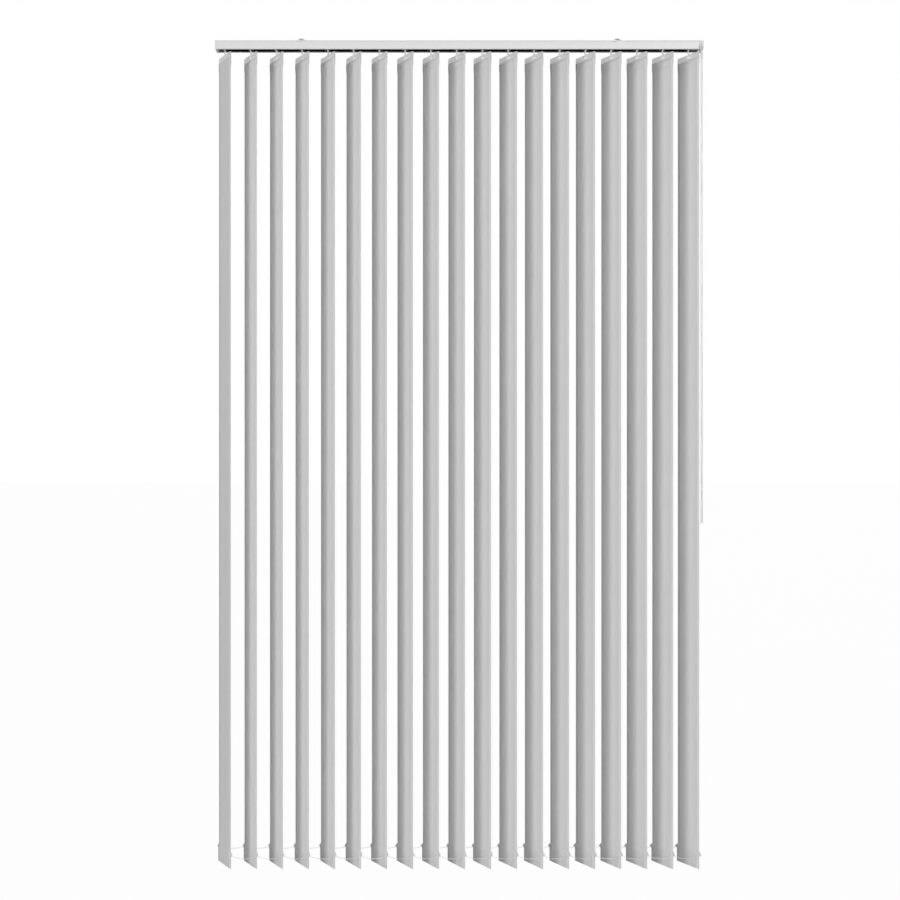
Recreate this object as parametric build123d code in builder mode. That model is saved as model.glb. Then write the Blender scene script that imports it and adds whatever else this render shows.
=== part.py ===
from build123d import *
import math
import os

# A vertical blind. Nineteen fabric vanes hang from carriers that run in an aluminium rail.
# X runs along the rail, -Y faces the room and +Z is up.
# The origin lies on the ceiling, midway between the two ceiling screws.

# Vanes
vane_count = 19
vane_pitch = 79.4
vane_width = 89.0
vane_length = 2480.0
fabric_thickness = 1.0
rest_tilt = 55.4
top_pocket_height = 25.0
top_pocket_thickness = 2.4
weight_height = 50.0
weight_width = 92.0
weight_thickness = 3.0
weight_shift = 2.0

# Hangers, the plates in the vanes' top pockets
hanger_width = 90.5
hanger_thickness = 1.6
hanger_show = 17.4
hanger_tuck = 14.0
hanger_gap = 13.1
hanger_corner = 4.0
eye_width = 15.0
eye_height = 5.0
eye_drop = 5.5
jaw_width = 5.2
jaw_thickness = 4.4
jaw_rise = 4.0

# Clips for the chains, one at each side of a weight
clip_reach = 8.0
clip_drop = 14.0
clip_height = 40.0
clip_notch = 3.0
notch_width = 4.4

# Chains that link the weights
chain_section = 2.2
chain_sag = 8.0
chain_inset = 1.6
chain_steps = 3
chain_gap = 0.3

# Rail
rail_depth = 35.0
rail_height = 27.0
rail_wall = 1.4
ledge_thickness = 1.6
slot_width = 25.0
shoulder_drop = 10.0
shoulder_inset = 1.2
groove_depth = 0.8
groove_drop = 2.6
groove_height = 2.0
edge_radius = 0.8
left_margin = 27.7
right_margin = 43.1

# Carriers, the trucks that run on the rail's ledges
carrier_length = 17.0
carrier_depth = 26.8
carrier_drop = 2.8
wing_height = 3.2
boss_inset = 0.5
running_gap = 0.3
chamber_floor_drop = 19.0
chamber_height = 9.5
chamber_back = 4.8
stack_pitch = 18.0
stem_radius = 2.2
stem_sides = 6
round_sides = 8
wheel_height = 8.4
worm_radius = 4.4
worm_length = 10.0

# Spacer strips, which keep the carriers a pitch apart
strip_width = 6.0
strip_thickness = 0.5
lane_pitch = 0.9
lane_drop = 8.6
strip_root = 4.5
strip_root_width = 8.0

# Tilt rod
rod_offset = 8.6
rod_drop = 13.0
rod_arm = 3.0
rod_web = 2.4
rod_fit = 0.15
rod_inset = 3.0

# End caps
left_cap_length = 8.0
control_length = 14.0
cover_thickness = 1.5
cap_proud = 0.4
cap_edge = 1.0
plug_length = 8.0
control_plug_length = 18.0
plug_depth = 27.0
plug_drop = 1.8
cavity_wall = 1.5

# Tilter, the geared shaft that the wand turns
tilter_slope = 30.0
tilter_inset = 10.6
gear_radius = 5.8
gear_width = 4.5
core_radius = 2.6
core_half_length = 5.0
journal_radius = 2.2
journal_length = 2.0
boss_radius = 3.4
boss_start = -3.4
boss_end = 16.0
neck_radius = 0.9
neck_length = 4.0
ball_radius = 2.3
ball_latitudes = (-62, -24, 24, 62)
ball_reach = 45.7

# Wand
wand_length = 1430.0
wand_radius = 3.2
wand_head_radius = 2.25
wand_head_length = 7.2
wand_neck_radius = 1.4
wand_neck_length = 2.1
socket_gap = 0.25
socket_angle = 56.0
collar_radius = 3.7
collar_lip = 1.5
collar_lip_radius = 1.8
tip_length = 10.0
tip_radius = 3.3
tip_spigot_radius = 2.3

# Ceiling brackets
bracket_spacing = 970.0
bracket_rise = 5.5
bracket_sheet = 1.2
bracket_foot = 25.0
bracket_foot_inner = 18.0
bracket_top = 13.0
bracket_half_depth = 16.0
screw_radius = 2.25
hook_width = 10.0
hook_clearance = 0.3
tongue_width = 14.0
tongue_reach = 29.0
tongue_drop = 1.4

# Latches that lock the brackets to the rail
latch_thickness = 1.4
latch_pivot = 23.3
latch_radius = 5.6
lobe_width = 6.4
handle_length = 20.0
handle_width = 7.0
rivet_radius = 1.5
rivet_head_radius = 2.6
rivet_head = 0.8

# Places that follow from the sizes
blind_width = left_margin + (vane_count - 1) * vane_pitch + right_margin
left_end = -blind_width / 2
right_end = blind_width / 2
rail_top = -bracket_rise
rail_bottom = rail_top - rail_height
rail_half = rail_depth / 2
rail_left = left_end + left_cap_length
rail_right = right_end - control_length
ledge_top = rail_bottom + ledge_thickness
shoulder_half = rail_half - shoulder_inset
groove_floor = shoulder_half - groove_depth
groove_top = rail_top - groove_drop
groove_bottom = groove_top - groove_height
inner_top_half = groove_floor - rail_wall
hanger_top = rail_bottom - hanger_gap
fabric_top = hanger_top - hanger_show
vane_bottom = fabric_top - vane_length
rod_z = rail_top - rod_drop
chamber_floor = rail_top - chamber_floor_drop
chamber_top = chamber_floor + chamber_height
rod_sweep = math.hypot(rod_arm, rod_web / 2)
lane_count = math.ceil(vane_pitch / stack_pitch)
clip_bottom = vane_bottom + clip_height
clip_tip = weight_width / 2 + clip_reach
chain_half = clip_tip - chain_inset - chain_section / 2
latch_top = groove_top - hook_clearance

tilt = math.radians(rest_tilt)
vane_face = Plane(
    origin=(0, 0, 0),
    x_dir=(math.cos(tilt), -math.sin(tilt), 0),
    z_dir=(-math.sin(tilt), -math.cos(tilt), 0),
)
# The weight lies a little toward the window in its pocket
weight_face = Plane(
    origin=(-weight_shift * math.cos(tilt), weight_shift * math.sin(tilt), 0),
    x_dir=vane_face.x_dir,
    z_dir=vane_face.z_dir,
)


def pivot_x(index):
    return left_end + left_margin + index * vane_pitch


def save(part, name):
    part.label = name
    export_step(part, f"parts/{name}.step")


def cap_points(proud):
    """Half of the rail's outer shape, larger by proud at the face and the bottom."""
    return [
        (0, rail_top),
        (shoulder_half + proud, rail_top),
        (rail_half + proud, rail_top - shoulder_drop),
        (rail_half + proud, rail_bottom - proud),
        (0, rail_bottom - proud),
    ]


def rod_section(clearance):
    """Cross-shaped section of the tilt rod, drawn at its axis."""
    arm = 2 * (rod_arm + clearance)
    web = rod_web + 2 * clearance
    with Locations((-rod_offset, rod_z)):
        Rectangle(arm, web)
        Rectangle(web, arm)


def facets(reach, sides):
    """A polygon with flat sides at reach from its centre, for a round that repeats often."""
    RegularPolygon(radius=reach, side_count=sides, major_radius=False, rotation=180 / sides)


def star(radius, sides, turns):
    """A toothed wheel's outline, made of turned polygons."""
    for turn in range(turns):
        angle = (turn + 1 / 2) * 360 / sides / turns
        RegularPolygon(radius=radius, side_count=sides, rotation=angle)


os.makedirs("parts", exist_ok=True)

# Headrail, an open-bottomed aluminium extrusion
with BuildPart() as headrail:
    with BuildSketch(Plane.YZ.offset(rail_left)):
        with BuildLine():
            Polyline(
                (0, rail_top),
                (shoulder_half, rail_top),
                (rail_half, rail_top - shoulder_drop),
                (rail_half, rail_bottom),
                (slot_width / 2, rail_bottom),
                (slot_width / 2, ledge_top),
                (rail_half - rail_wall, ledge_top),
                (rail_half - rail_wall, rail_top - shoulder_drop),
                (inner_top_half, groove_bottom - rail_wall),
                (inner_top_half, rail_top - rail_wall),
                (0, rail_top - rail_wall),
                close=True,
            )
        make_face()
        mirror(about=Plane.YZ)
        groove_centre = groove_floor + shoulder_inset + groove_depth
        with Locations(
            (groove_centre, (groove_top + groove_bottom) / 2),
            (-groove_centre, (groove_top + groove_bottom) / 2),
        ):
            Rectangle(2 * (groove_centre - groove_floor), groove_height, mode=Mode.SUBTRACT)
    extrude(amount=rail_right - rail_left)
    lower_edges = headrail.edges().filter_by(Axis.X).filter_by_position(
        Axis.Z, rail_bottom - edge_radius / 2, rail_bottom + edge_radius / 2
    )
    fillet(
        [lower_edges.sort_by(Axis.Y)[0], lower_edges.sort_by(Axis.Y)[-1]],
        radius=min(edge_radius, rail_wall / 2),
    )
save(headrail.part, "headrail")

# Left end cap, with a plug that carries the rod
with BuildPart() as left_cap:
    with BuildSketch(Plane.YZ.offset(left_end)):
        with BuildLine():
            Polyline(*cap_points(cap_proud), close=True)
        make_face()
        mirror(about=Plane.YZ)
    extrude(amount=left_cap_length)
    chamfer(left_cap.faces().sort_by(Axis.X)[0].edges(), length=cap_edge)
    with BuildSketch(Plane.YZ.offset(rail_left)):
        with Locations((0, (rail_top - plug_drop + ledge_top + running_gap) / 2)):
            Rectangle(plug_depth, rail_top - plug_drop - ledge_top - running_gap)
    extrude(amount=plug_length)
    with BuildSketch(Plane.YZ.offset(rail_left - rod_inset)):
        with Locations((-rod_offset, rod_z)):
            facets(rod_sweep + running_gap, round_sides)
    extrude(amount=rod_inset + plug_length, mode=Mode.SUBTRACT)
save(left_cap.part, "end_cap_left")

# Tilt rod, from the left cap into the control housing
gear_centre = right_end - tilter_inset
rod_left = rail_left - rod_inset + running_gap
rod_right = gear_centre + gear_width / 2 + rod_inset / 2
with BuildPart() as tilt_rod:
    with BuildSketch(Plane.YZ.offset(rod_left)):
        rod_section(0)
    extrude(amount=rod_right - rod_left)
save(tilt_rod.part, "tilt_rod")

# Tilter gear, keyed on the rod's right end
with BuildPart() as tilter_gear:
    with BuildSketch(Plane.YZ.offset(gear_centre - gear_width / 2)):
        with Locations((-rod_offset, rod_z)):
            star(gear_radius, 4, 3)
        with Locations((-rod_offset, rod_z)):
            Rectangle(2 * (rod_arm + rod_fit), rod_web + 2 * rod_fit, mode=Mode.SUBTRACT)
            Rectangle(rod_web + 2 * rod_fit, 2 * (rod_arm + rod_fit), mode=Mode.SUBTRACT)
    extrude(amount=gear_width)
save(tilter_gear.part, "tilter_gear")

# Tilter shaft: its worm core passes beside the gear and its ball end leaves the housing
slope = math.radians(tilter_slope)
shaft_distance = gear_radius + core_radius + running_gap
shaft_y = -rod_offset - shaft_distance * math.cos(slope)
shaft_z = rod_z + shaft_distance * math.sin(slope)
shaft_plane = Plane(
    origin=(gear_centre, shaft_y, shaft_z),
    x_dir=(1, 0, 0),
    z_dir=(0, -math.sin(slope), -math.cos(slope)),
)
ball_y = shaft_y - ball_reach * math.sin(slope)
ball_z = shaft_z - ball_reach * math.cos(slope)
with BuildPart() as tilter_shaft:
    with BuildSketch(shaft_plane.offset(-core_half_length)):
        facets(core_radius * math.cos(math.pi / round_sides), round_sides)
    extrude(amount=2 * core_half_length)
    with BuildSketch(shaft_plane.offset(-core_half_length - journal_length)):
        Circle(journal_radius)
    extrude(amount=ball_reach - neck_length + core_half_length + journal_length)
    with BuildSketch(shaft_plane.offset(ball_reach - neck_length)):
        Circle(neck_radius)
    extrude(amount=neck_length)
    ball_plane = Plane(shaft_plane.offset(ball_reach).origin, x_dir=shaft_plane.z_dir, z_dir=(1, 0, 0))
    with BuildSketch(ball_plane):
        latitudes = [math.radians(angle) for angle in ball_latitudes]
        rim = [(ball_radius * math.sin(lat), ball_radius * math.cos(lat)) for lat in latitudes]
        with BuildLine():
            Polyline((rim[0][0], 0), *rim, (rim[-1][0], 0), close=True)
        make_face()
    revolve(axis=Axis((gear_centre, ball_y, ball_z), shaft_plane.z_dir))
save(tilter_shaft.part, "tilter_shaft")

# Control housing, the right end cap that holds the tilter
cavity_left = gear_centre - core_radius - running_gap
with BuildPart() as control_housing:
    with BuildSketch(Plane.YZ.offset(rail_right)):
        with BuildLine():
            Polyline(*cap_points(cap_proud), close=True)
        make_face()
        mirror(about=Plane.YZ)
    extrude(amount=control_length - cover_thickness)
    with BuildSketch(Plane.YZ.offset(rail_right - control_plug_length)):
        with Locations((0, (rail_top - plug_drop + ledge_top + running_gap) / 2)):
            Rectangle(plug_depth, rail_top - plug_drop - ledge_top - running_gap)
    extrude(amount=control_plug_length)
    with BuildSketch(shaft_plane.offset(boss_start)):
        Circle(boss_radius)
    extrude(amount=boss_end - boss_start)
    with BuildSketch(Plane.YZ.offset(cavity_left)):
        with Locations((-rod_offset, rod_z)):
            facets(gear_radius + running_gap, round_sides)
    extrude(amount=right_end - cover_thickness - cavity_left, mode=Mode.SUBTRACT)
    with BuildSketch(Plane.YZ.offset(rail_right - control_plug_length)):
        with Locations((-rod_offset, rod_z)):
            facets(rod_sweep + running_gap, round_sides)
    extrude(amount=control_length + control_plug_length, mode=Mode.SUBTRACT)
    with BuildSketch(shaft_plane.offset(-core_half_length - running_gap)):
        facets(core_radius + running_gap, round_sides)
    extrude(amount=2 * (core_half_length + running_gap), mode=Mode.SUBTRACT)
    with BuildSketch(shaft_plane.offset(-core_half_length - journal_length - running_gap)):
        Circle(journal_radius + running_gap)
    extrude(amount=core_half_length + journal_length + boss_end + 1, mode=Mode.SUBTRACT)
save(control_housing.part, "control_housing")

# Cover, the outer plate that closes the control housing
with BuildPart() as control_cover:
    with BuildSketch(Plane.YZ.offset(right_end - cover_thickness)):
        with BuildLine():
            Polyline(*cap_points(cap_proud), close=True)
        make_face()
        mirror(about=Plane.YZ)
    extrude(amount=cover_thickness)
    chamfer(
        control_cover.faces().sort_by(Axis.X)[-1].edges(),
        length=min(cap_edge, cover_thickness / 2),
    )
save(control_cover.part, "control_cover")

# Collar, the sleeve that snaps round the ball and carries the wand's head
socket_radius = ball_radius + socket_gap
mouth = math.radians(socket_angle)
mouth_radius = socket_radius * math.sin(mouth)
mouth_z = socket_radius * math.cos(mouth)
head_top = -ball_radius - running_gap
head_bottom = head_top - wand_head_length
lip_top = head_bottom - running_gap
lip_bottom = lip_top - collar_lip
collar_plane = Plane(origin=(gear_centre, ball_y, ball_z), x_dir=(1, 0, 0), z_dir=(0, -1, 0))
with BuildPart() as wand_collar:
    with BuildSketch(collar_plane):
        with BuildLine():
            Polyline(
                (mouth_radius, mouth_z),
                (collar_radius, mouth_z),
                (collar_radius, lip_bottom),
                (collar_lip_radius, lip_bottom),
                (collar_lip_radius, lip_top),
                (socket_radius, lip_top),
                (socket_radius, 0),
                close=True,
            )
        make_face()
    revolve(axis=Axis((gear_centre, ball_y, ball_z), (0, 0, 1)))
save(wand_collar.part, "wand_collar")

# Wand, a hexagonal rod with a round head
neck_bottom = head_bottom - wand_neck_length
wand_bottom = head_top - wand_length
wand_axis = (gear_centre, ball_y)
with BuildPart() as wand:
    with BuildSketch(Plane.XY.offset(ball_z + head_bottom)):
        with Locations(wand_axis):
            Circle(wand_head_radius)
    extrude(amount=wand_head_length)
    with BuildSketch(Plane.XY.offset(ball_z + neck_bottom)):
        with Locations(wand_axis):
            Circle(wand_neck_radius)
    extrude(amount=wand_neck_length)
    with BuildSketch(Plane.XY.offset(ball_z + wand_bottom + tip_length)):
        with Locations(wand_axis):
            RegularPolygon(radius=wand_radius, side_count=6)
    extrude(amount=neck_bottom - wand_bottom - tip_length)
    with BuildSketch(Plane.XY.offset(ball_z + wand_bottom + tip_length / 3)):
        with Locations(wand_axis):
            RegularPolygon(radius=tip_spigot_radius, side_count=6)
    extrude(amount=2 * tip_length / 3)
save(wand.part, "wand")

# Tip, the cap on the wand's lower end
with BuildPart() as wand_tip:
    with BuildSketch(Plane.XY.offset(ball_z + wand_bottom)):
        with Locations(wand_axis):
            RegularPolygon(radius=tip_radius, side_count=6)
    extrude(amount=tip_length)
    chamfer(wand_tip.faces().sort_by(Axis.Z)[0].edges(), length=tip_radius / 4)
    with BuildSketch(Plane.XY.offset(ball_z + wand_bottom + tip_length / 3)):
        with Locations(wand_axis):
            RegularPolygon(radius=tip_spigot_radius + rod_fit, side_count=6)
    extrude(amount=2 * tip_length / 3, mode=Mode.SUBTRACT)
save(wand_tip.part, "wand_tip")

# Ceiling bracket, a pressed hat section with a front hook and a rear tongue
tongue_top = rail_top - tongue_drop
tongue_bottom = tongue_top - bracket_sheet
foot_top = rail_top + bracket_sheet
hook_inner = -rail_half + hook_clearance / 2
hook_outer = hook_inner - bracket_sheet
joggle = rail_half + 2 * hook_clearance
with BuildPart() as bracket:
    with BuildSketch(Plane.XZ.offset(-bracket_half_depth)):
        with BuildLine():
            Polyline(
                (0, 0),
                (bracket_top / 2, 0),
                (bracket_foot_inner / 2, foot_top),
                (bracket_foot / 2, foot_top),
                (bracket_foot / 2, rail_top),
                (bracket_foot_inner / 2 - bracket_sheet / 2, rail_top),
                (bracket_top / 2 - bracket_sheet / 2, -bracket_sheet),
                (0, -bracket_sheet),
                close=True,
            )
        make_face()
        mirror(about=Plane.YZ)
    extrude(amount=2 * bracket_half_depth)
    with BuildSketch(Plane.XY.offset(-bracket_sheet)):
        Circle(screw_radius)
    extrude(amount=bracket_sheet, mode=Mode.SUBTRACT)
    with BuildSketch(Plane.XY.offset(rail_top)):
        with Locations((0, (hook_outer - bracket_half_depth) / 2)):
            Rectangle(bracket_foot, -bracket_half_depth - hook_outer)
        with Locations((0, (bracket_half_depth + joggle + bracket_sheet) / 2)):
            Rectangle(bracket_foot, joggle + bracket_sheet - bracket_half_depth)
    extrude(amount=bracket_sheet)
    with BuildSketch(Plane.YZ.offset(-bracket_foot / 2)):
        with BuildLine():
            Polyline(
                (hook_outer, rail_top),
                (hook_inner, rail_top),
                (hook_inner, latch_top),
                (-groove_floor - hook_clearance, latch_top),
                (-groove_floor - hook_clearance, latch_top - latch_thickness),
                (hook_outer, latch_top - latch_thickness),
                close=True,
            )
        make_face()
    extrude(amount=hook_width)
    with BuildSketch(Plane.YZ.offset(-tongue_width / 2)):
        with BuildLine():
            Polyline(
                (joggle, rail_top),
                (joggle, tongue_bottom),
                (tongue_reach, tongue_bottom),
                (tongue_reach, tongue_top),
                (joggle + bracket_sheet, tongue_top),
                (joggle + bracket_sheet, rail_top),
                close=True,
            )
        make_face()
    extrude(amount=tongue_width)
    with BuildSketch(Plane.XY.offset(tongue_bottom)):
        with Locations((0, latch_pivot)):
            facets(rivet_radius + rod_fit, round_sides)
    extrude(amount=bracket_sheet, mode=Mode.SUBTRACT)

# Latch, a flat lever whose lobe turns into the rail's rear groove
lobe_radius = latch_pivot - groove_floor - hook_clearance
with BuildPart() as latch:
    with BuildSketch(Plane.XY.offset(latch_top - latch_thickness)):
        with Locations((0, latch_pivot)):
            facets(latch_radius, round_sides)
        with BuildLine():
            Polyline(
                (0, latch_pivot),
                (-lobe_width / 2, latch_pivot - math.sqrt(lobe_radius**2 - lobe_width**2 / 4)),
                (0, latch_pivot - lobe_radius),
                (lobe_width / 2, latch_pivot - math.sqrt(lobe_radius**2 - lobe_width**2 / 4)),
                close=True,
            )
        make_face()
        with Locations((handle_length / 2, latch_pivot)):
            Rectangle(handle_length, handle_width)
        with Locations((0, latch_pivot)):
            Circle(rivet_radius + rod_fit, mode=Mode.SUBTRACT)
    extrude(amount=latch_thickness)
    chamfer(
        latch.edges().filter_by(Axis.Z).sort_by(Axis.X)[-2:],
        length=handle_width / 4,
    )

# Rivet, on which the latch turns
rivet_top = tongue_top + rod_fit
rivet_bottom = latch_top - latch_thickness - rod_fit
with BuildPart() as rivet:
    with BuildSketch(Plane.XY.offset(rivet_bottom)):
        with Locations((0, latch_pivot)):
            facets(rivet_radius * math.cos(math.pi / round_sides), round_sides)
    extrude(amount=rivet_top - rivet_bottom)
    with BuildSketch(Plane.XY.offset(rivet_top), Plane.XY.offset(rivet_bottom - rivet_head)):
        with Locations((0, latch_pivot)):
            facets(rivet_head_radius, round_sides)
    extrude(amount=rivet_head)

rivets = []
for side, place in (("left", -bracket_spacing / 2), ("right", bracket_spacing / 2)):
    save(bracket.part.moved(Location((place, 0, 0))), f"bracket_{side}")
    save(latch.part.moved(Location((place, 0, 0))), f"latch_{side}")
    rivets.append(rivet.part.moved(Location((place, 0, 0))))
save(Compound(children=rivets), "rivets")

# Carrier: a cage for the worm and the stem's wheel, on two wings that run on the ledges
boss_bottom = rail_bottom + boss_inset
carrier_top = rail_top - carrier_drop
wing_half = rail_half - rail_wall - running_gap
wing_bottom = ledge_top + running_gap
lane_bottom = rail_top - lane_drop
window_height = lane_count * lane_pitch + running_gap
with BuildPart() as carrier:
    with BuildSketch(Plane.YZ.offset(-carrier_length / 2)):
        with Locations((0, (ledge_top + carrier_top) / 2)):
            Rectangle(carrier_depth, carrier_top - ledge_top)
        with Locations((0, (boss_bottom + ledge_top) / 2 + running_gap)):
            Rectangle(slot_width - 4 * running_gap, ledge_top - boss_bottom + 2 * running_gap)
        with Locations((0, wing_bottom + wing_height / 2)):
            Rectangle(2 * wing_half, wing_height)
        with Locations(
            (carrier_depth / 2, ledge_top), (-carrier_depth / 2, ledge_top)
        ):
            Rectangle(carrier_depth - slot_width + 4 * running_gap, 2 * running_gap, mode=Mode.SUBTRACT)
    extrude(amount=carrier_length)
    chamber_depth = carrier_depth / 2 + chamber_back
    with Locations((0, chamber_back - chamber_depth / 2, chamber_floor + chamber_height / 2)):
        Box(worm_length, chamber_depth, chamber_height, mode=Mode.SUBTRACT)
    with BuildSketch(Plane.YZ.offset(-worm_length / 2)):
        with Locations((-rod_offset, rod_z)):
            facets(worm_radius * math.cos(math.pi / round_sides), round_sides)
    extrude(amount=worm_length)
    with BuildSketch(Plane.YZ.offset(-carrier_length / 2)):
        with Locations((-rod_offset, rod_z)):
            facets(rod_sweep + running_gap, round_sides)
        with Locations((0, lane_bottom + window_height / 2)):
            Rectangle(strip_width + 2 * running_gap, window_height)
    extrude(amount=carrier_length, mode=Mode.SUBTRACT)
    with BuildSketch(Plane.XY.offset(boss_bottom)):
        facets(stem_radius / math.cos(math.pi / stem_sides) + running_gap, stem_sides)
    extrude(amount=chamber_floor - boss_bottom, mode=Mode.SUBTRACT)

# Each carrier but the last has a spacer strip, in one of a few lanes so that they pass when stacked
strip_reach = vane_pitch + carrier_length / 2 - strip_thickness
strip_start = carrier_length / 2 - strip_root
for index in range(vane_count):
    lane_z = lane_bottom + running_gap + (index % lane_count) * lane_pitch
    with BuildPart() as linked_carrier:
        add(carrier.part)
        if index < vane_count - 1:
            with BuildSketch(Plane.XY.offset(lane_z)):
                with Locations(((strip_start + strip_reach) / 2, 0)):
                    Rectangle(strip_reach - strip_start, strip_width)
                with Locations((strip_start + strip_root / 2, 0)):
                    Rectangle(strip_root, strip_root_width)
            extrude(amount=strip_thickness)
    placed = linked_carrier.part.moved(Location((pivot_x(index), 0, 0)))
    save(placed, f"carrier_{index + 1:02d}")

# Vane: fabric with its pockets, hanger plate, toothed stem and bottom weight
wheel_radius = rod_offset - worm_radius - running_gap
stem_top = chamber_floor + running_gap
with BuildPart() as vane:
    with BuildSketch(vane_face):
        with Locations((0, (fabric_top + vane_bottom) / 2)):
            Rectangle(vane_width, vane_length)
    extrude(amount=fabric_thickness / 2, both=True)
    with BuildSketch(vane_face):
        with Locations((0, fabric_top - top_pocket_height / 2)):
            Rectangle(vane_width, top_pocket_height)
    extrude(amount=top_pocket_thickness / 2, both=True)
    with BuildSketch(vane_face):
        hanger_height = hanger_show + hanger_tuck
        with Locations((0, hanger_top - hanger_height / 2)):
            Rectangle(hanger_width, hanger_height)
        with Locations((0, hanger_top - eye_drop - eye_height / 2)):
            Rectangle(eye_width, eye_height, mode=Mode.SUBTRACT)
    extrude(amount=hanger_thickness / 2, both=True)
    across = Axis((0, 0, 0), vane_face.z_dir)
    top_edges = vane.edges().filter_by(across).group_by(Axis.Z)[-1]
    chamfer(top_edges, length=hanger_corner)
    with BuildSketch(vane_face):
        jaw_height = jaw_rise + eye_drop - running_gap
        with Locations((0, hanger_top + jaw_rise - jaw_height / 2)):
            Rectangle(jaw_width, jaw_height)
    extrude(amount=jaw_thickness / 2, both=True)
    with BuildSketch(weight_face):
        with Locations((0, vane_bottom + weight_height / 2)):
            Rectangle(weight_width, weight_height)
        with BuildLine():
            Polyline(
                (weight_width / 2, clip_bottom + clip_drop),
                (clip_tip, clip_bottom + clip_notch),
                (clip_tip - notch_width, clip_bottom + clip_notch),
                (weight_width / 2, clip_bottom),
                close=True,
            )
        make_face()
        mirror(about=Plane.YZ)
    extrude(amount=weight_thickness / 2, both=True)
    with BuildSketch(Plane.XY.offset(hanger_top + jaw_rise)):
        facets(stem_radius, stem_sides)
    extrude(amount=stem_top - hanger_top - jaw_rise)
    with BuildSketch(Plane.XY.offset(stem_top)):
        star(wheel_radius, 3, 2)
    extrude(amount=wheel_height)
for index in range(vane_count):
    save(vane.part.moved(Location((pivot_x(index), 0, 0))), f"vane_{index + 1:02d}")

# Chains: plain sagging bands in the clips' notches, one in front of the vanes and one behind
chain_top = clip_bottom + clip_notch - chain_gap
upper = []
for span in range(vane_count - 1):
    for step in range(chain_steps):
        share = step / chain_steps
        sag = 4 * chain_sag * share * (1 - share)
        upper.append((pivot_x(span) + share * vane_pitch, chain_top - sag))
upper.append((pivot_x(vane_count - 1), chain_top))
lower = [(x, z - chain_section) for x, z in reversed(upper)]
for name, edge in (("chain_front", chain_half - weight_shift), ("chain_back", -chain_half - weight_shift)):
    shift = edge * math.cos(tilt)
    depth = edge * math.sin(tilt)
    with BuildPart() as chain:
        with BuildSketch(Plane.XZ.offset(depth - chain_section / 2)):
            with BuildLine():
                Polyline(*[(x + shift, z) for x, z in upper + lower], close=True)
            make_face()
        extrude(amount=chain_section)
    save(chain.part, name)

print("blind width", round(blind_width, 1), "height", round(-vane_bottom, 1))
print("wand and chain places", round(gear_centre, 2), round(ball_y, 2), round(ball_z, 2))
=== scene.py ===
import math

import bmesh
import bpy
from mathutils import Matrix, Vector


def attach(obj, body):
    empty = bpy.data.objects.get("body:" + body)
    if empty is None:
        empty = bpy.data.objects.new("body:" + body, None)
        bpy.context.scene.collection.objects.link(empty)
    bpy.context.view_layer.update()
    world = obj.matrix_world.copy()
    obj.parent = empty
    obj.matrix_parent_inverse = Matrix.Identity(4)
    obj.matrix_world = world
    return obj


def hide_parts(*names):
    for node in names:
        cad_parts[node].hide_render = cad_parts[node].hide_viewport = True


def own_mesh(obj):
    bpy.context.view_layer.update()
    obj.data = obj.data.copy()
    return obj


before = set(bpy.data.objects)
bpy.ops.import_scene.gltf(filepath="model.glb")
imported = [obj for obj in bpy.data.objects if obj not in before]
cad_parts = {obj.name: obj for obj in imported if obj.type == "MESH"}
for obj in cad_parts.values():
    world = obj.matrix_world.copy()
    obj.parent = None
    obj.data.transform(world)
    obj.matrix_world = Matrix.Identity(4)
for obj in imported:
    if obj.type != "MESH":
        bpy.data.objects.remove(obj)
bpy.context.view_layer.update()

mm = 0.001

# Where things are, in millimetres, the same as in the part's source
layout = {
    "vanes": 19,
    "pitch": 79.4,
    "firstVane": -722.3,
    "tilt": 55.4,
    "hangerTop": -45.6,
    "fabricTop": -63.0,
    "vaneBottom": -2543.0,
    "railBottom": -32.5,
    "stackPitch": 18.0,
}

print("stage: camera")

cameraView = {"place": (-0.0283, -3.534, -1.2633), "lens": 45.84, "sensor": 36.0, "far": 200}
cameraData = bpy.data.cameras.new("photoCamera")
cameraData.lens = cameraView["lens"]
cameraData.sensor_width = cameraView["sensor"]
cameraData.clip_end = cameraView["far"]
camera = bpy.data.objects.new("photoCamera", cameraData)
camera.location = cameraView["place"]
camera.rotation_euler = (math.radians(90), 0, 0)
bpy.context.scene.collection.objects.link(camera)
bpy.context.scene.camera = camera
bpy.context.scene.view_settings.view_transform = "Standard"


def newFinish(name, colour, roughness):
    finish = bpy.data.materials.new(name)
    finish.use_nodes = True
    tree = finish.node_tree
    shader = tree.nodes["Principled BSDF"]
    shader.inputs["Base Color"].default_value = (*colour, 1)
    shader.inputs["Roughness"].default_value = roughness
    return finish, tree, shader


def mapped(tree, scale=(1, 1, 1), source="Object"):
    # Object or UV coordinates in metres, times a scale
    coordinates = tree.nodes.new("ShaderNodeTexCoord")
    mapping = tree.nodes.new("ShaderNodeMapping")
    mapping.inputs["Scale"].default_value = scale
    tree.links.new(coordinates.outputs[source], mapping.inputs["Vector"])
    return mapping.outputs["Vector"]


def noise(tree, vector, size, detail=2.0):
    texture = tree.nodes.new("ShaderNodeTexNoise")
    texture.inputs["Scale"].default_value = size
    texture.inputs["Detail"].default_value = detail
    tree.links.new(vector, texture.inputs["Vector"])
    return texture.outputs["Fac"]


def maths(tree, operation, first, second=None, third=None):
    node = tree.nodes.new("ShaderNodeMath")
    node.operation = operation
    for socket, value in zip(node.inputs, (first, second, third)):
        if value is None:
            continue
        if isinstance(value, (int, float)):
            socket.default_value = value
        else:
            tree.links.new(value, socket)
    return node.outputs["Value"]


def mixColour(tree, factor, dark, light):
    node = tree.nodes.new("ShaderNodeMix")
    node.data_type = "RGBA"
    tree.links.new(factor, node.inputs["Factor"])
    for name, value in (("A", dark), ("B", light)):
        socket = [s for s in node.inputs if s.name == name and s.type == "RGBA"][0]
        if isinstance(value, tuple):
            socket.default_value = (*value, 1)
        else:
            tree.links.new(value, socket)
    return [s for s in node.outputs if s.type == "RGBA"][0]


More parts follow.
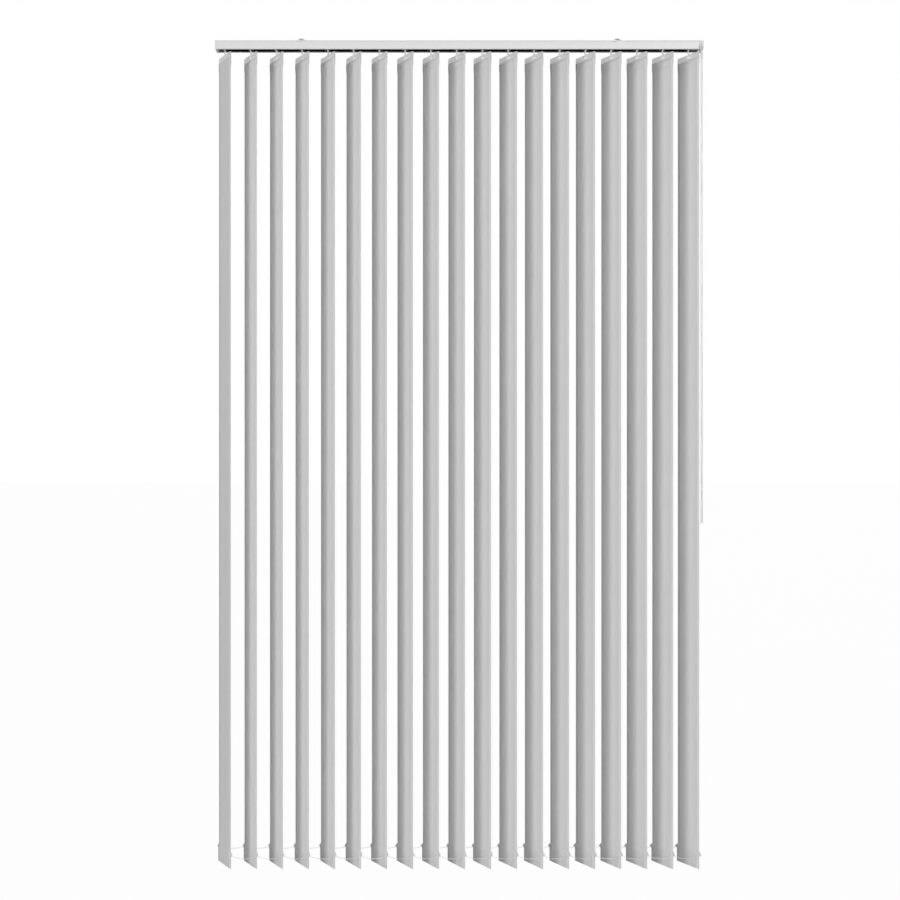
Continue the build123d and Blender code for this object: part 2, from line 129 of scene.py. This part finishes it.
def between(tree, value, low, high):
    # 1 where a value lies between two limits, else 0
    above = maths(tree, "GREATER_THAN", value, low)
    below = maths(tree, "LESS_THAN", value, high)
    return maths(tree, "MULTIPLY", above, below)


def axesOf(tree, vector):
    split = tree.nodes.new("ShaderNodeSeparateXYZ")
    tree.links.new(vector, split.inputs["Vector"])
    return split.outputs


def bump(tree, shader, height, distance, strength=1.0):
    node = tree.nodes.new("ShaderNodeBump")
    node.inputs["Strength"].default_value = strength
    node.inputs["Distance"].default_value = distance
    tree.links.new(height, node.inputs["Height"])
    tree.links.new(node.outputs["Normal"], shader.inputs["Normal"])


def grey(value):
    return (value, value, value)


def cloudy(tree, pattern, colour, variety):
    # A grey that drifts along a pattern between itself and a darker share of itself
    return mixColour(tree, pattern, grey(colour * variety), grey(colour))


print("stage: finishes")

paintLook = {
    "colour": 0.80,
    "worn": 0.77,
    "roughness": 0.38,
    "lineStretch": (3, 1400, 1400),
    "lineDetail": 3.0,
    "lineDepth": 0.00001,
    "cloud": 22.0,
    # Painted shade: near black over the chamber inside the rail
    "chamberShade": 0.012,
    "chamber": (0.0162, -0.0309, -0.0068),
    "groove": (0.0148, -0.0112),
}


def railPaint():
    # White paint on an extrusion, with faint lines along it; the chamber inside is painted near
    # black, as painted shade where the rail's inside lies in shadow
    look = paintLook
    finish, tree, shader = newFinish("railPaint", grey(look["colour"]), look["roughness"])
    axes = axesOf(tree, mapped(tree))
    depth = maths(tree, "ABSOLUTE", axes["Y"])
    half, low, high = look["chamber"]
    grooveFloor, grooveLow = look["groove"]
    within = maths(tree, "LESS_THAN", depth, half)
    chamber = maths(tree, "MULTIPLY", within, between(tree, axes["Z"], low, high))
    beyond = maths(tree, "GREATER_THAN", depth, grooveFloor)
    groove = maths(tree, "MULTIPLY", beyond, maths(tree, "GREATER_THAN", axes["Z"], grooveLow))
    chamberShade = maths(tree, "MULTIPLY", chamber, maths(tree, "SUBTRACT", 1.0, groove))
    cloud = noise(tree, mapped(tree), look["cloud"])
    paint = mixColour(tree, cloud, grey(look["worn"]), grey(look["colour"]))
    # The chamber inside gets its painted shade, near black
    colour = mixColour(tree, chamberShade, paint, grey(look["chamberShade"]))
    tree.links.new(colour, shader.inputs["Base Color"])
    lines = noise(tree, mapped(tree, look["lineStretch"]), 1.0, look["lineDetail"])
    bump(tree, shader, lines, look["lineDepth"])
    return finish


mouldLook = {"grain": 2600.0, "depth": 0.00002, "cloud": 60.0, "variety": 0.94, "gloss": 0.5}


def moulded(name, colour, roughness, depth=mouldLook["depth"], gloss=mouldLook["gloss"]):
    # Plastic with the fine spark-eroded grain of a mould
    finish, tree, shader = newFinish(name, grey(colour), roughness)
    shader.inputs["Specular IOR Level"].default_value = gloss
    cloud = noise(tree, mapped(tree), mouldLook["cloud"])
    shell = cloudy(tree, cloud, colour, mouldLook["variety"])
    tree.links.new(shell, shader.inputs["Base Color"])
    bump(tree, shader, noise(tree, mapped(tree), mouldLook["grain"]), depth)
    return finish


capLook = {
    "colour": 0.79,
    "variety": 0.96,
    "roughness": 0.4,
    "gloss": 0.25,
    # Painted shade: near black on the plugs inside the rail
    "plug": 0.012,
    "railEnds": (-0.7419, 0.7359),
}


def capPlastic():
    # The caps' outside is white, and their plugs inside the rail are painted near black, as
    # painted shade to match the rail's shaded chamber
    look = capLook
    finish, tree, shader = newFinish("capPlastic", grey(look["colour"]), look["roughness"])
    shader.inputs["Specular IOR Level"].default_value = look["gloss"]
    plug = between(tree, axesOf(tree, mapped(tree))["X"], *look["railEnds"])
    cloud = noise(tree, mapped(tree), mouldLook["cloud"])
    shell = cloudy(tree, cloud, look["colour"], look["variety"])
    # The plugs inside the rail get their painted shade, near black
    tree.links.new(mixColour(tree, plug, shell, grey(look["plug"])), shader.inputs["Base Color"])
    bump(tree, shader, noise(tree, mapped(tree), mouldLook["grain"]), mouldLook["depth"])
    return finish


powderLook = {"roughness": 0.42, "peel": 900.0, "depth": 0.00003, "cloud": 40.0, "variety": 0.95}


def powderCoat(name, colour):
    # Sprayed powder with a little orange peel, on pressed steel
    look = powderLook
    finish, tree, shader = newFinish(name, grey(colour), look["roughness"])
    coat = cloudy(tree, noise(tree, mapped(tree), look["cloud"]), colour, look["variety"])
    tree.links.new(coat, shader.inputs["Base Color"])
    bump(tree, shader, noise(tree, mapped(tree), look["peel"], 1.0), look["depth"])
    return finish


platedLook = {"streaks": 700.0, "detail": 3.0, "dull": 0.8, "depth": 0.000008}


def platedSteel(name, colour, roughness, along=(1, 1, 1)):
    finish, tree, shader = newFinish(name, colour, roughness)
    shader.inputs["Metallic"].default_value = 1.0
    streaks = noise(tree, mapped(tree, along), platedLook["streaks"], platedLook["detail"])
    dull = tuple(channel * platedLook["dull"] for channel in colour)
    tree.links.new(mixColour(tree, streaks, dull, colour), shader.inputs["Base Color"])
    bump(tree, shader, streaks, platedLook["depth"])
    return finish


clearLook = {
    "roughness": 0.22,
    "ior": 1.49,
    "flow": 120.0,
    "flowStretch": (1, 1, 0.4),
    "depth": 0.00002,
    "variety": 0.96,
}


def clearPlastic(name, colour, through=0.0, body=1.0, gloss=0.5):
    # Milky clear plastic, which lets light straight through where its body is below 1
    look = clearLook
    finish, tree, shader = newFinish(name, grey(colour), look["roughness"])
    shader.inputs["Alpha"].default_value = body
    shader.inputs["Specular IOR Level"].default_value = gloss
    shader.inputs["Transmission Weight"].default_value = through
    shader.inputs["IOR"].default_value = look["ior"]
    flow = noise(tree, mapped(tree, look["flowStretch"]), look["flow"])
    tree.links.new(cloudy(tree, flow, colour, look["variety"]), shader.inputs["Base Color"])
    bump(tree, shader, flow, look["depth"])
    return finish


fabricLook = {
    "warp": 1500.0,
    "weft": 1250.0,
    "dark": 0.665,
    "light": 0.775,
    "roughness": 0.86,
    "gloss": 0.2,
    "slubStretch": (260, 18, 1),
    "slubDetail": 3.0,
    "slubHeight": 1.6,
    "threadShade": 0.18,
    "depth": 0.00006,
    "strength": 0.6,
    # A thin line of painted shade along the slat's top edge, where the hanger plate comes out of
    # the pocket
    "shadeLineHeight": 0.0013,
    "topShadeLine": 0.3,
}


def wovenFabric():
    # Plain weave of two crossed sets of threads, with slubs, on the slat's UV map in metres
    look = fabricLook
    finish, tree, shader = newFinish("slatFabric", grey(look["light"]), look["roughness"])
    shader.inputs["Specular IOR Level"].default_value = look["gloss"]
    axes = axesOf(tree, mapped(tree, source="UV"))
    slubs = noise(tree, mapped(tree, look["slubStretch"], "UV"), 1.0, look["slubDetail"])
    warpTurns = maths(tree, "MULTIPLY", axes["X"], look["warp"] * math.tau)
    weftTurns = maths(tree, "MULTIPLY", axes["Y"], look["weft"] * math.tau)
    across = maths(tree, "SINE", warpTurns)
    up = maths(tree, "SINE", weftTurns)
    threads = maths(tree, "MULTIPLY", across, up)
    height = maths(tree, "MULTIPLY_ADD", slubs, look["slubHeight"], threads)
    shade = maths(tree, "MULTIPLY_ADD", threads, look["threadShade"], slubs)
    cloth = mixColour(tree, shade, grey(look["dark"]), grey(look["light"]))
    # A thin line of painted shade along the top edge of the cloth
    shadeLineLow = layout["fabricTop"] * mm - look["shadeLineHeight"]
    topShadeLine = maths(tree, "GREATER_THAN", axes["Y"], shadeLineLow)
    colour = mixColour(tree, topShadeLine, cloth, grey(look["topShadeLine"]))
    tree.links.new(colour, shader.inputs["Base Color"])
    bump(tree, shader, height, look["depth"], look["strength"])
    return finish


finishes = {
    "rail": railPaint(),
    "cap": capPlastic(),
    "bracket": powderCoat("bracketPaint", 0.86),
    "latch": powderCoat("latchPaint", 0.7),
    "rivet": platedSteel("zincPlate", (0.62, 0.62, 0.6), roughness=0.35),
    "rod": platedSteel("darkRod", (0.05, 0.05, 0.055), roughness=0.4, along=(0.02, 1, 1)),
    "carrier": moulded("carrierPlastic", 0.012, roughness=0.6, gloss=0.1),
    "gear": moulded("gearPlastic", 0.06, roughness=0.45),
    "shaft": moulded("shaftPlastic", 0.72, roughness=0.4),
    "wand": clearPlastic("wandPlastic", 0.84, through=0.08),
    "collar": moulded("collarPlastic", 0.74, roughness=0.35),
    "hanger": clearPlastic("hangerPlastic", 0.84, body=0.85, gloss=0.1),
    "stem": moulded("stemPlastic", 0.84, roughness=0.3),
    "weight": moulded("weightPlastic", 0.74, roughness=0.4),
    "bead": moulded("beadPlastic", 0.9, roughness=0.25, depth=0.00001),
    "fabric": wovenFabric(),
}

nodeFinish = {
    "headrail": "rail", "end_cap_left": "cap", "control_housing": "cap", "control_cover": "cap",
    "bracket_left": "bracket", "bracket_right": "bracket", "latch_left": "latch",
    "latch_right": "latch", "rivets": "rivet", "tilt_rod": "rod", "tilter_gear": "gear",
    "tilter_shaft": "shaft", "wand_collar": "collar", "wand": "wand", "wand_tip": "wand",
}
for number in range(1, layout["vanes"] + 1):
    nodeFinish[f"carrier_{number:02d}"] = "carrier"
for node, finish in nodeFinish.items():
    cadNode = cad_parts[node]
    if not cadNode.material_slots:
        cadNode.data.materials.append(finishes[finish])
    for slot in cadNode.material_slots:
        slot.material = finishes[finish]


def pivot(index):
    return layout["firstVane"] + index * layout["pitch"]


def pivotPlace(index):
    # From millimetres round a vane's pivot, along the rail, to metres in the frame
    return Matrix.Translation((pivot(index) * mm, 0, 0)) @ Matrix.Scale(mm, 4)


def vanePlace(index):
    # From a vane's own millimetres (across, through, up) to metres in the frame
    return pivotPlace(index) @ Matrix.Rotation(math.radians(-layout["tilt"]), 4, "Z")


def meshOf(bm, name):
    mesh = bpy.data.meshes.new(name)
    bm.to_mesh(mesh)
    bm.free()
    return mesh


def cleaned(bm):
    bmesh.ops.remove_doubles(bm, verts=bm.verts, dist=0.0001)
    bmesh.ops.recalc_face_normals(bm, faces=bm.faces)
    return bm


def softened(bm, angle=30):
    # Smooth shading that keeps the sharp edges sharp
    bm.normal_update()
    for edge in bm.edges:
        edge.smooth = len(edge.link_faces) == 2 and edge.calc_face_angle(0) < math.radians(angle)
    for face in bm.faces:
        face.smooth = True
    return bm


def place(mesh, name, finish, matrix):
    copy = mesh.copy()
    copy.name = name
    copy.transform(matrix)
    piece = bpy.data.objects.new(name, copy)
    piece.data.materials.append(finishes[finish])
    bpy.context.scene.collection.objects.link(piece)
    return piece


def vertsOf(geometry):
    return [item for item in geometry if isinstance(item, bmesh.types.BMVert)]


def edgesOf(geometry):
    return [item for item in geometry if isinstance(item, bmesh.types.BMEdge)]


def bevel(bm, geometry, offset, segments=2, affect="EDGES"):
    bmesh.ops.bevel(
        bm, geom=geometry, offset=offset, segments=segments, profile=0.5, affect=affect,
        material=-1,
    )


def box(bm, low, high, rounding):
    size = [b - a for a, b in zip(low, high)]
    middle = [(a + b) / 2 for a, b in zip(low, high)]
    matrix = Matrix.Translation(middle) @ Matrix.Diagonal((*size, 1))
    made = bmesh.ops.create_cube(bm, size=1, matrix=matrix)
    bevel(bm, list({edge for vert in made["verts"] for edge in vert.link_edges}), rounding)


def lathe(bm, outline, steps):
    # Spins pairs of radius and height round the upright axis
    points = [bm.verts.new((radius, 0, height)) for radius, height in outline]
    edges = [bm.edges.new(pair) for pair in zip(points, points[1:])]
    bmesh.ops.spin(
        bm, geom=points + edges, cent=(0, 0, 0), axis=(0, 0, 1), angle=math.tau, steps=steps,
        use_merge=True,
    )


def clamped(value):
    return min(1.0, max(0.0, value))


print("stage: fabric slats")

# The rows are pairs of a share of the pocket's gap and a distance from the seam, weld or bottom
slat = {
    "width": 89.0,
    "cloth": 0.45,
    "columns": 8,
    "rowHeight": 60.0,
    "topPocket": 25.0,
    "topGap": 1.15,
    "topRow": 12.0,
    "seamRows": ((1.0, 6.0), (0.8, 3.0)),
    "weightPocket": 50.0,
    "weightGap": 1.45,
    "weldRows": ((0.8, 1.5), (1.0, 4.0), (1.0, 25.0)),
    "bottomRows": ((1.0, 1.6), (0.7, 0.5)),
    "bottomLow": 0.15,
    "weldLength": 10.0,
    "frontGap": 0.25,
    "backGap": 0.3,
    "seamToSheet": 4.0,
    "sheetToWeld": 6.0,
    "seamStrip": 3.0,
    "weldStrip": (2.0, 5.0),
    "pocketShift": 2.5,
    "shiftHeight": 5.0,
    "bow": 0.35,
    "bowFade": 300.0,
    "threadLift": 0.7,
}


def slatMesh():
    top = layout["fabricTop"]
    bottom = layout["vaneBottom"]
    seam = top - slat["topPocket"]
    weld = bottom + slat["weightPocket"]
    gap = slat["topGap"]
    fold = slat["weightGap"]
    topPocket = [(gap, top), (gap, top - slat["topRow"])]
    topPocket += [(gap * share, seam + rise) for share, rise in slat["seamRows"]]
    weightPocket = [(fold * share, weld - drop) for share, drop in slat["weldRows"]]
    weightPocket += [(fold * share, bottom + rise) for share, rise in slat["bottomRows"]]
    stripLow, stripHigh = slat["weldStrip"]
    # The long front sheet, down to the fold under the weight and up to the weld behind it
    front = [(-through, height) for through, height in topPocket] + [(-slat["frontGap"], seam)]
    rows = int((seam - weld) / slat["rowHeight"])
    sheetTop = seam - slat["seamToSheet"]
    sheetLength = sheetTop - weld - slat["sheetToWeld"]
    front += [(0, sheetTop - sheetLength * row / rows) for row in range(rows + 1)]
    front += [(-slat["frontGap"], weld + stripLow)]
    front += [(-through, height) for through, height in weightPocket]
    front += [(0, bottom + slat["bottomLow"])] + weightPocket[::-1]
    front += [(slat["backGap"], weld + stripLow), (slat["backGap"], weld + stripHigh)]
    # The strip behind the hanger plate, down to its weld
    back = topPocket + [(slat["backGap"], seam), (slat["backGap"], seam - slat["seamStrip"])]
    bm = bmesh.new()
    half = slat["width"] / 2
    step = slat["width"] / slat["columns"]
    for outline in (front, back):
        points = [bm.verts.new((-half, through, height)) for through, height in outline]
        line = [bm.edges.new(pair) for pair in zip(points, points[1:])]
        for column in range(slat["columns"]):
            made = bmesh.ops.extrude_edge_only(bm, edges=line)["geom"]
            bmesh.ops.translate(bm, verts=vertsOf(made), vec=(step, 0, 0))
            line = edgesOf(made)
    # Real slats keep a slight bow across, which dies out at the stiff ends
    for vert in bm.verts:
        low = clamped((vert.co.z - weld) / slat["bowFade"])
        high = clamped((seam - vert.co.z) / slat["bowFade"])
        vert.co.y += slat["bow"] * low * high * (1 - (vert.co.x / half) ** 2)
        pocket = clamped((weld + slat["shiftHeight"] - vert.co.z) / slat["shiftHeight"])
        vert.co.x -= slat["pocketShift"] * pocket
    layer = bm.loops.layers.uv.new("clothPlane")
    for face in bm.faces:
        face.smooth = True
        for loop in face.loops:
            across, through, up = loop.vert.co
            loop[layer].uv = (across * mm, (up + slat["threadLift"] * through) * mm)
    return meshOf(cleaned(bm), "slatFabric")


slatMaster = slatMesh()

print("stage: hangers and stems")

hanger = {
    "width": 90.5,
    "height": 31.4,
    "thickness": 1.8,
    "corner": 4.0,
    "cornerSteps": 4,
    "rim": 1.8,
    "recess": 0.35,
    "eyeWidth": 15.0,
    "eyeTop": 5.5,
    "eyeHeight": 5.0,
}


def hangerMesh():
    top = layout["hangerTop"]
    bm = bmesh.new()
    size = Matrix.Diagonal((hanger["width"] / 2, 1, hanger["height"] / 2, 1))
    stand = Matrix.Rotation(math.radians(90), 4, "X")
    lift = Matrix.Translation((0, 0, top - hanger["height"] / 2))
    bmesh.ops.create_grid(bm, x_segments=1, y_segments=1, size=1, matrix=lift @ size @ stand)
    corners = [vert for vert in bm.verts if vert.co.z > top - 1]
    bevel(bm, corners, hanger["corner"], hanger["cornerSteps"], "VERTICES")
    eyeHigh = top - hanger["eyeTop"]
    eyeLow = eyeHigh - hanger["eyeHeight"]
    eyeSide = hanger["eyeWidth"] / 2
    cuts = [((0, 0, height), (0, 0, 1)) for height in (eyeHigh, eyeLow)]
    cuts += [((across, 0, 0), (1, 0, 0)) for across in (-eyeSide, eyeSide)]
    for point, normal in cuts:
        everything = bm.verts[:] + bm.edges[:] + bm.faces[:]
        bmesh.ops.bisect_plane(bm, geom=everything, plane_co=point, plane_no=normal)
    eye = [
        face for face in bm.faces
        if abs(face.calc_center_median().x) < eyeSide
        and eyeLow < face.calc_center_median().z < eyeHigh
    ]
    bmesh.ops.delete(bm, geom=eye, context="FACES")
    bmesh.ops.recalc_face_normals(bm, faces=bm.faces)
    bmesh.ops.solidify(bm, geom=bm.faces[:], thickness=hanger["thickness"])
    bmesh.ops.recalc_face_normals(bm, faces=bm.faces)
    middle = sum(vert.co.y for vert in bm.verts) / len(bm.verts)
    bmesh.ops.translate(bm, verts=bm.verts, vec=(0, -middle, 0))
    # Both sides are sunk inside a rim
    for side in (-1, 1):
        faces = [face for face in bm.faces if face.normal.y * side > 0.9]
        bmesh.ops.inset_region(
            bm, faces=faces, thickness=hanger["rim"], depth=-hanger["recess"], use_boundary=True,
            use_even_offset=True,
        )
    return meshOf(softened(cleaned(bm), 35), "hangerPlate")


stem = {
    "sides": 20,
    "radius": 2.7,
    "neck": 2.8,
    "neckSink": 0.5,
    "neckTaper": (1.5, 0.6),
    "jawWidth": 5.2,
    "jawTop": 4.0,
    "jawLift": 0.3,
    "jawRounding": 0.35,
    "plateGap": 0.95,
    "leafThickness": 1.1,
    "leafLengths": ((-1, 9.0), (1, 6.48)),
    "leafTop": 1.0,
    "leafRounding": 0.3,
    "hookWidth": 0.8,
    "hookDrop": 0.4,
    "hookHeight": 1.9,
    "hookReach": (0.4, 0.2),
    "hookRounding": 0.25,
    "wheel": 3.85,
    "root": 2.9,
    "teeth": 8,
    "wheelLow": -24.2,
    "wheelHeight": 8.4,
}


def stemMesh():
    top = layout["hangerTop"]
    bm = bmesh.new()
    jaw = top + stem["jawTop"]
    neckLow = jaw - stem["neckSink"]
    neckHigh, shaftLow = (layout["railBottom"] - drop for drop in stem["neckTaper"])
    outline = [
        (0, neckLow), (stem["neck"], neckLow), (stem["neck"], neckHigh),
        (stem["radius"], shaftLow), (stem["radius"], stem["wheelLow"]), (0, stem["wheelLow"]),
    ]
    lathe(bm, outline, stem["sides"])
    # The toothed wheel, a ring of points in pairs with every other pair drawn in
    made = bmesh.ops.create_circle(
        bm, cap_ends=True, radius=stem["wheel"], segments=stem["teeth"] * 4,
        matrix=Matrix.Translation((0, 0, stem["wheelLow"])),
    )
    share = stem["root"] / stem["wheel"]
    for number, vert in enumerate(made["verts"]):
        if number % 4 > 1:
            vert.co.x *= share
            vert.co.y *= share
    disc = [
        face for face in made["verts"][0].link_faces if len(face.verts) == len(made["verts"])
    ]
    raised = bmesh.ops.extrude_face_region(bm, geom=disc)["geom"]
    bmesh.ops.translate(bm, verts=vertsOf(raised), vec=(0, 0, stem["wheelHeight"]))
    # The jaw: a bridge over the plate's top edge, and two leaves down its sides
    half = stem["jawWidth"] / 2
    inner = stem["plateGap"]
    outer = inner + stem["leafThickness"]
    jawLow = top + stem["jawLift"]
    box(bm, (-half, -outer, jawLow), (half, outer, jaw), stem["jawRounding"])
    for side, length in stem["leafLengths"]:
        low, high = sorted((side * inner, side * outer))
        leafHigh = top + stem["leafTop"]
        box(bm, (-half, low, top - length), (half, high, leafHigh), stem["leafRounding"])
    # The hook through the plate's eye
    hookHigh = top - hanger["eyeTop"] - stem["hookDrop"]
    hookLow = hookHigh - stem["hookHeight"]
    hookHalf = half * stem["hookWidth"]
    past, short = stem["hookReach"]
    hookRounding = stem["hookRounding"]
    box(bm, (-hookHalf, -inner - past, hookLow), (hookHalf, inner - short, hookHigh), hookRounding)
    return meshOf(softened(cleaned(bm)), "hangerStem")


hangerMaster = hangerMesh()
stemMaster = stemMesh()

# The pale seat under each carrier, which shows in the rail's slot at both sides of the stem
seat = {"halfWidth": 2.7, "halfLength": 11.8, "low": -32.7, "high": -31.95, "rounding": 0.2}


def seatMesh():
    bm = bmesh.new()
    low = (-seat["halfWidth"], -seat["halfLength"], seat["low"])
    high = (seat["halfWidth"], seat["halfLength"], seat["high"])
    box(bm, low, high, seat["rounding"])
    return meshOf(softened(cleaned(bm)), "carrierSeat")


seatMaster = seatMesh()

print("stage: weights and clips")

weight = {
    "width": 92.0,
    "height": 46.0,
    "thickness": 2.0,
    "low": 1.2,
    "rounding": 0.5,
    "shift": 2.0,
    "clipThickness": 2.6,
    "clipLow": 40.0,
    "clipRise": 14.0,
    "clipReach": 8.0,
    "clipRoot": 6.0,
    "clipRounding": 0.3,
    "foot": (0.8, 5.0),
    "notch": 3.0,
    "notchWidth": 4.4,
    "point": (0.1, 1.0),
    "head": ((0.8, 0.6), (-0.4, 0.0)),
}


def weightMesh():
    bottom = layout["vaneBottom"]
    bm = bmesh.new()
    half = weight["thickness"] / 2
    edge = weight["width"] / 2
    high = bottom + weight["height"]
    box(bm, (-edge, -half, bottom + weight["low"]), (edge, half, high), weight["rounding"])
    # One barbed clip with the chain's notch under its point, drawn once and mirrored
    low = bottom + weight["clipLow"]
    top = low + weight["clipRise"]
    root = edge - weight["clipRoot"]
    tip = edge + weight["clipReach"]
    under = low + weight["notch"]
    footIn, footDrop = weight["foot"]
    foot = low - footDrop
    pointIn, pointRise = weight["point"]
    outline = [
        (root, foot), (edge - footIn, foot), (edge, low), (tip - weight["notchWidth"], under),
        (tip, under), (tip - pointIn, under + pointRise),
    ]
    outline += [(edge + out, top - drop) for out, drop in weight["head"]] + [(root, top)]
    corners = [bm.verts.new((across, 0, height)) for across, height in outline]
    clip = bm.faces.new(corners)
    moved = vertsOf(bmesh.ops.extrude_face_region(bm, geom=[clip])["geom"])
    bmesh.ops.translate(bm, verts=moved, vec=(0, weight["clipThickness"], 0))
    clipVerts = corners + moved
    bmesh.ops.translate(bm, verts=clipVerts, vec=(0, -weight["clipThickness"] / 2, 0))
    bmesh.ops.recalc_face_normals(bm, faces=bm.faces)
    outside = {
        line for vert in clipVerts for line in vert.link_edges
        if all(end.co.x > root + 1 for end in line.verts)
    }
    bevel(bm, list(outside), weight["clipRounding"])
    verts = [vert for vert in bm.verts if vert.co.x > root - 1 and vert.co.z > foot - 0.5]
    faces = {
        face for vert in verts for face in vert.link_faces
        if all(corner in verts for corner in face.verts)
    }
    bmesh.ops.mirror(
        bm, geom=verts + list(faces), matrix=Matrix(), merge_dist=0.0001, axis="X",
    )
    # It lies a little toward the window in its pocket
    bmesh.ops.translate(bm, verts=bm.verts, vec=(-weight["shift"], 0, 0))
    return meshOf(softened(cleaned(bm)), "weightClips")


weightMaster = weightMesh()

for index in range(layout["vanes"]):
    number = f"{index + 1:02d}"
    body = f"vane_{number}"
    matrix = vanePlace(index)
    fabric = place(slatMaster, f"fabric_{number}", "fabric", matrix)
    wall = fabric.modifiers.new("clothThickness", "SOLIDIFY")
    wall.thickness = slat["cloth"] * mm
    wall.offset = 0
    hangerPiece = place(hangerMaster, f"hanger_{number}", "hanger", matrix)
    stemPiece = place(stemMaster, f"stem_{number}", "stem", matrix)
    weightPiece = place(weightMaster, f"weight_{number}", "weight", matrix)
    for piece in (fabric, hangerPiece, stemPiece, weightPiece):
        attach(piece, body)
        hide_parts(body)
    # The first carrier stands fixed in the rail
    seatPiece = place(seatMaster, f"seat_{number}", "stem", pivotPlace(index))
    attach(seatPiece, f"carrier_{number}" if index else "rail")

print("stage: bead chains")

beads = {
    "radius": 1.45,
    "segments": (10, 6),
    "spacing": 5.2,
    "link": 0.45,
    "linkSides": 6,
    "top": -2500.3,
    "spanSteps": 40,
    "front": {"reach": 49.3, "sag": 8.0},
    "back": {"reach": -53.3, "sag": 5.5},
}


def chainPoints(sag):
    # Even steps along the sagging spans, from the first vane's clip to the last one's
    height = beads["top"] - beads["radius"]
    fine = []
    for span in range(layout["vanes"] - 1):
        for step in range(beads["spanSteps"]):
            share = step / beads["spanSteps"]
            hang = 4 * sag * share * (1 - share)
            fine.append(Vector((pivot(span) + share * layout["pitch"], 0, height - hang)))
    fine.append(Vector((pivot(layout["vanes"] - 1), 0, height)))
    total = sum((b - a).length for a, b in zip(fine, fine[1:]))
    count = round(total / beads["spacing"])
    gap = total / count
    points = [fine[0]]
    walked = 0.0
    for a, b in zip(fine, fine[1:]):
        length = (b - a).length
        while walked + length >= gap * len(points) - 1e-6 and len(points) <= count:
            share = (gap * len(points) - walked) / length
            points.append(a.lerp(b, min(1.0, share)))
        walked += length
    return points


def beadMesh():
    # One bead and the bit of link after it, along Z from its centre
    bm = bmesh.new()
    around, along = beads["segments"]
    bmesh.ops.create_uvsphere(bm, u_segments=around, v_segments=along, radius=beads["radius"])
    bmesh.ops.create_cone(
        bm, cap_ends=True, segments=beads["linkSides"], radius1=beads["link"],
        radius2=beads["link"], depth=beads["spacing"],
        matrix=Matrix.Translation((0, 0, beads["spacing"] / 2)),
    )
    bmesh.ops.recalc_face_normals(bm, faces=bm.faces)
    for face in bm.faces:
        face.smooth = True
    return meshOf(bm, "bead")


beadMaster = beadMesh()


def chainMesh(points):
    bm = bmesh.new()
    for a, b in zip(points, points[1:] + [points[-1] * 2 - points[-2]]):
        turn = (b - a).to_track_quat("Z", "Y").to_matrix().to_4x4()
        bead = beadMaster.copy()
        bead.transform(Matrix.Translation(a) @ turn)
        bm.from_mesh(bead)
        bpy.data.meshes.remove(bead)
    return meshOf(bm, "beadChain")


for side in ("front", "back"):
    name = f"chain_{side}"
    angle = math.radians(layout["tilt"])
    reach = beads[side]["reach"]
    shift = Vector((reach * math.cos(angle), -reach * math.sin(angle), 0))
    run = chainMesh(chainPoints(beads[side]["sag"]))
    chainPlace = Matrix.Scale(mm, 4) @ Matrix.Translation(shift)
    chain = place(run, f"beads_{name}", "bead", chainPlace)
    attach(chain, name)
    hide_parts(name)
    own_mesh(chain)

print("stage: room and light")

room = {
    "floor": -2.95,
    "size": 110.0,
    "white": 0.98,
    "bounce": 0.4,
    "roughness": 0.9,
    "world": 0.1,
}


def seenWhite(tree):
    # 1 for the camera's, the glossy and the transmission rays, and 0 for the others
    path = tree.nodes.new("ShaderNodeLightPath")
    seen = maths(tree, "MAXIMUM", path.outputs["Is Camera Ray"], path.outputs["Is Glossy Ray"])
    return maths(tree, "MAXIMUM", seen, path.outputs["Is Transmission Ray"])


def floorWhite():
    # White to the camera and in reflections, with a little of its shadow, and grey for the light
    finish, tree, shader = newFinish("floorWhite", grey(room["bounce"]), room["roughness"])
    glow = tree.nodes.new("ShaderNodeEmission")
    glow.inputs["Strength"].default_value = 1.0
    mix = tree.nodes.new("ShaderNodeMixShader")
    tree.links.new(maths(tree, "MULTIPLY", seenWhite(tree), room["white"]), mix.inputs["Fac"])
    tree.links.new(shader.outputs["BSDF"], mix.inputs[1])
    tree.links.new(glow.outputs["Emission"], mix.inputs[2])
    tree.links.new(mix.outputs["Shader"], tree.nodes["Material Output"].inputs["Surface"])
    return finish


floorGrid = bmesh.new()
floorPlace = Matrix.Translation((0, 0, room["floor"]))
bmesh.ops.create_grid(
    floorGrid, x_segments=1, y_segments=1, size=room["size"] / 2, matrix=floorPlace,
)
plane = bpy.data.objects.new("floor", meshOf(floorGrid, "floor"))
plane.data.materials.append(floorWhite())
bpy.context.scene.collection.objects.link(plane)

world = bpy.data.worlds.new("studioWorld")
world.use_nodes = True
bpy.context.scene.world = world
worldTree = world.node_tree
background = worldTree.nodes["Background"]
background.inputs["Color"].default_value = (1, 1, 1, 1)
lift = 1.0 - room["world"]
level = maths(worldTree, "MULTIPLY_ADD", seenWhite(worldTree), lift, room["world"])
worldTree.links.new(level, background.inputs["Strength"])

# Soft far lamps round the object, each with a turn to the left of the camera, a rise, a strength
lamps = {
    "keyLamp": (48.0, 10.0, 1.53),
    "fillLamp": (-25.0, 10.0, 1.51),
    "backLamp": (-165.0, 10.0, 2.4),
}
lampSpread = 30
lampDistance = 5

for name, (turn, rise, strength) in lamps.items():
    data = bpy.data.lights.new(name, "SUN")
    data.energy = strength
    data.angle = math.radians(lampSpread)
    turn = math.radians(turn)
    rise = math.radians(rise)
    out = math.cos(rise)
    toward = Vector((-math.sin(turn) * out, -math.cos(turn) * out, math.sin(rise)))
    lamp = bpy.data.objects.new(name, data)
    lamp.location = toward * lampDistance
    lamp.rotation_euler = (-toward).to_track_quat("-Z", "Y").to_euler()
    bpy.context.scene.collection.objects.link(lamp)
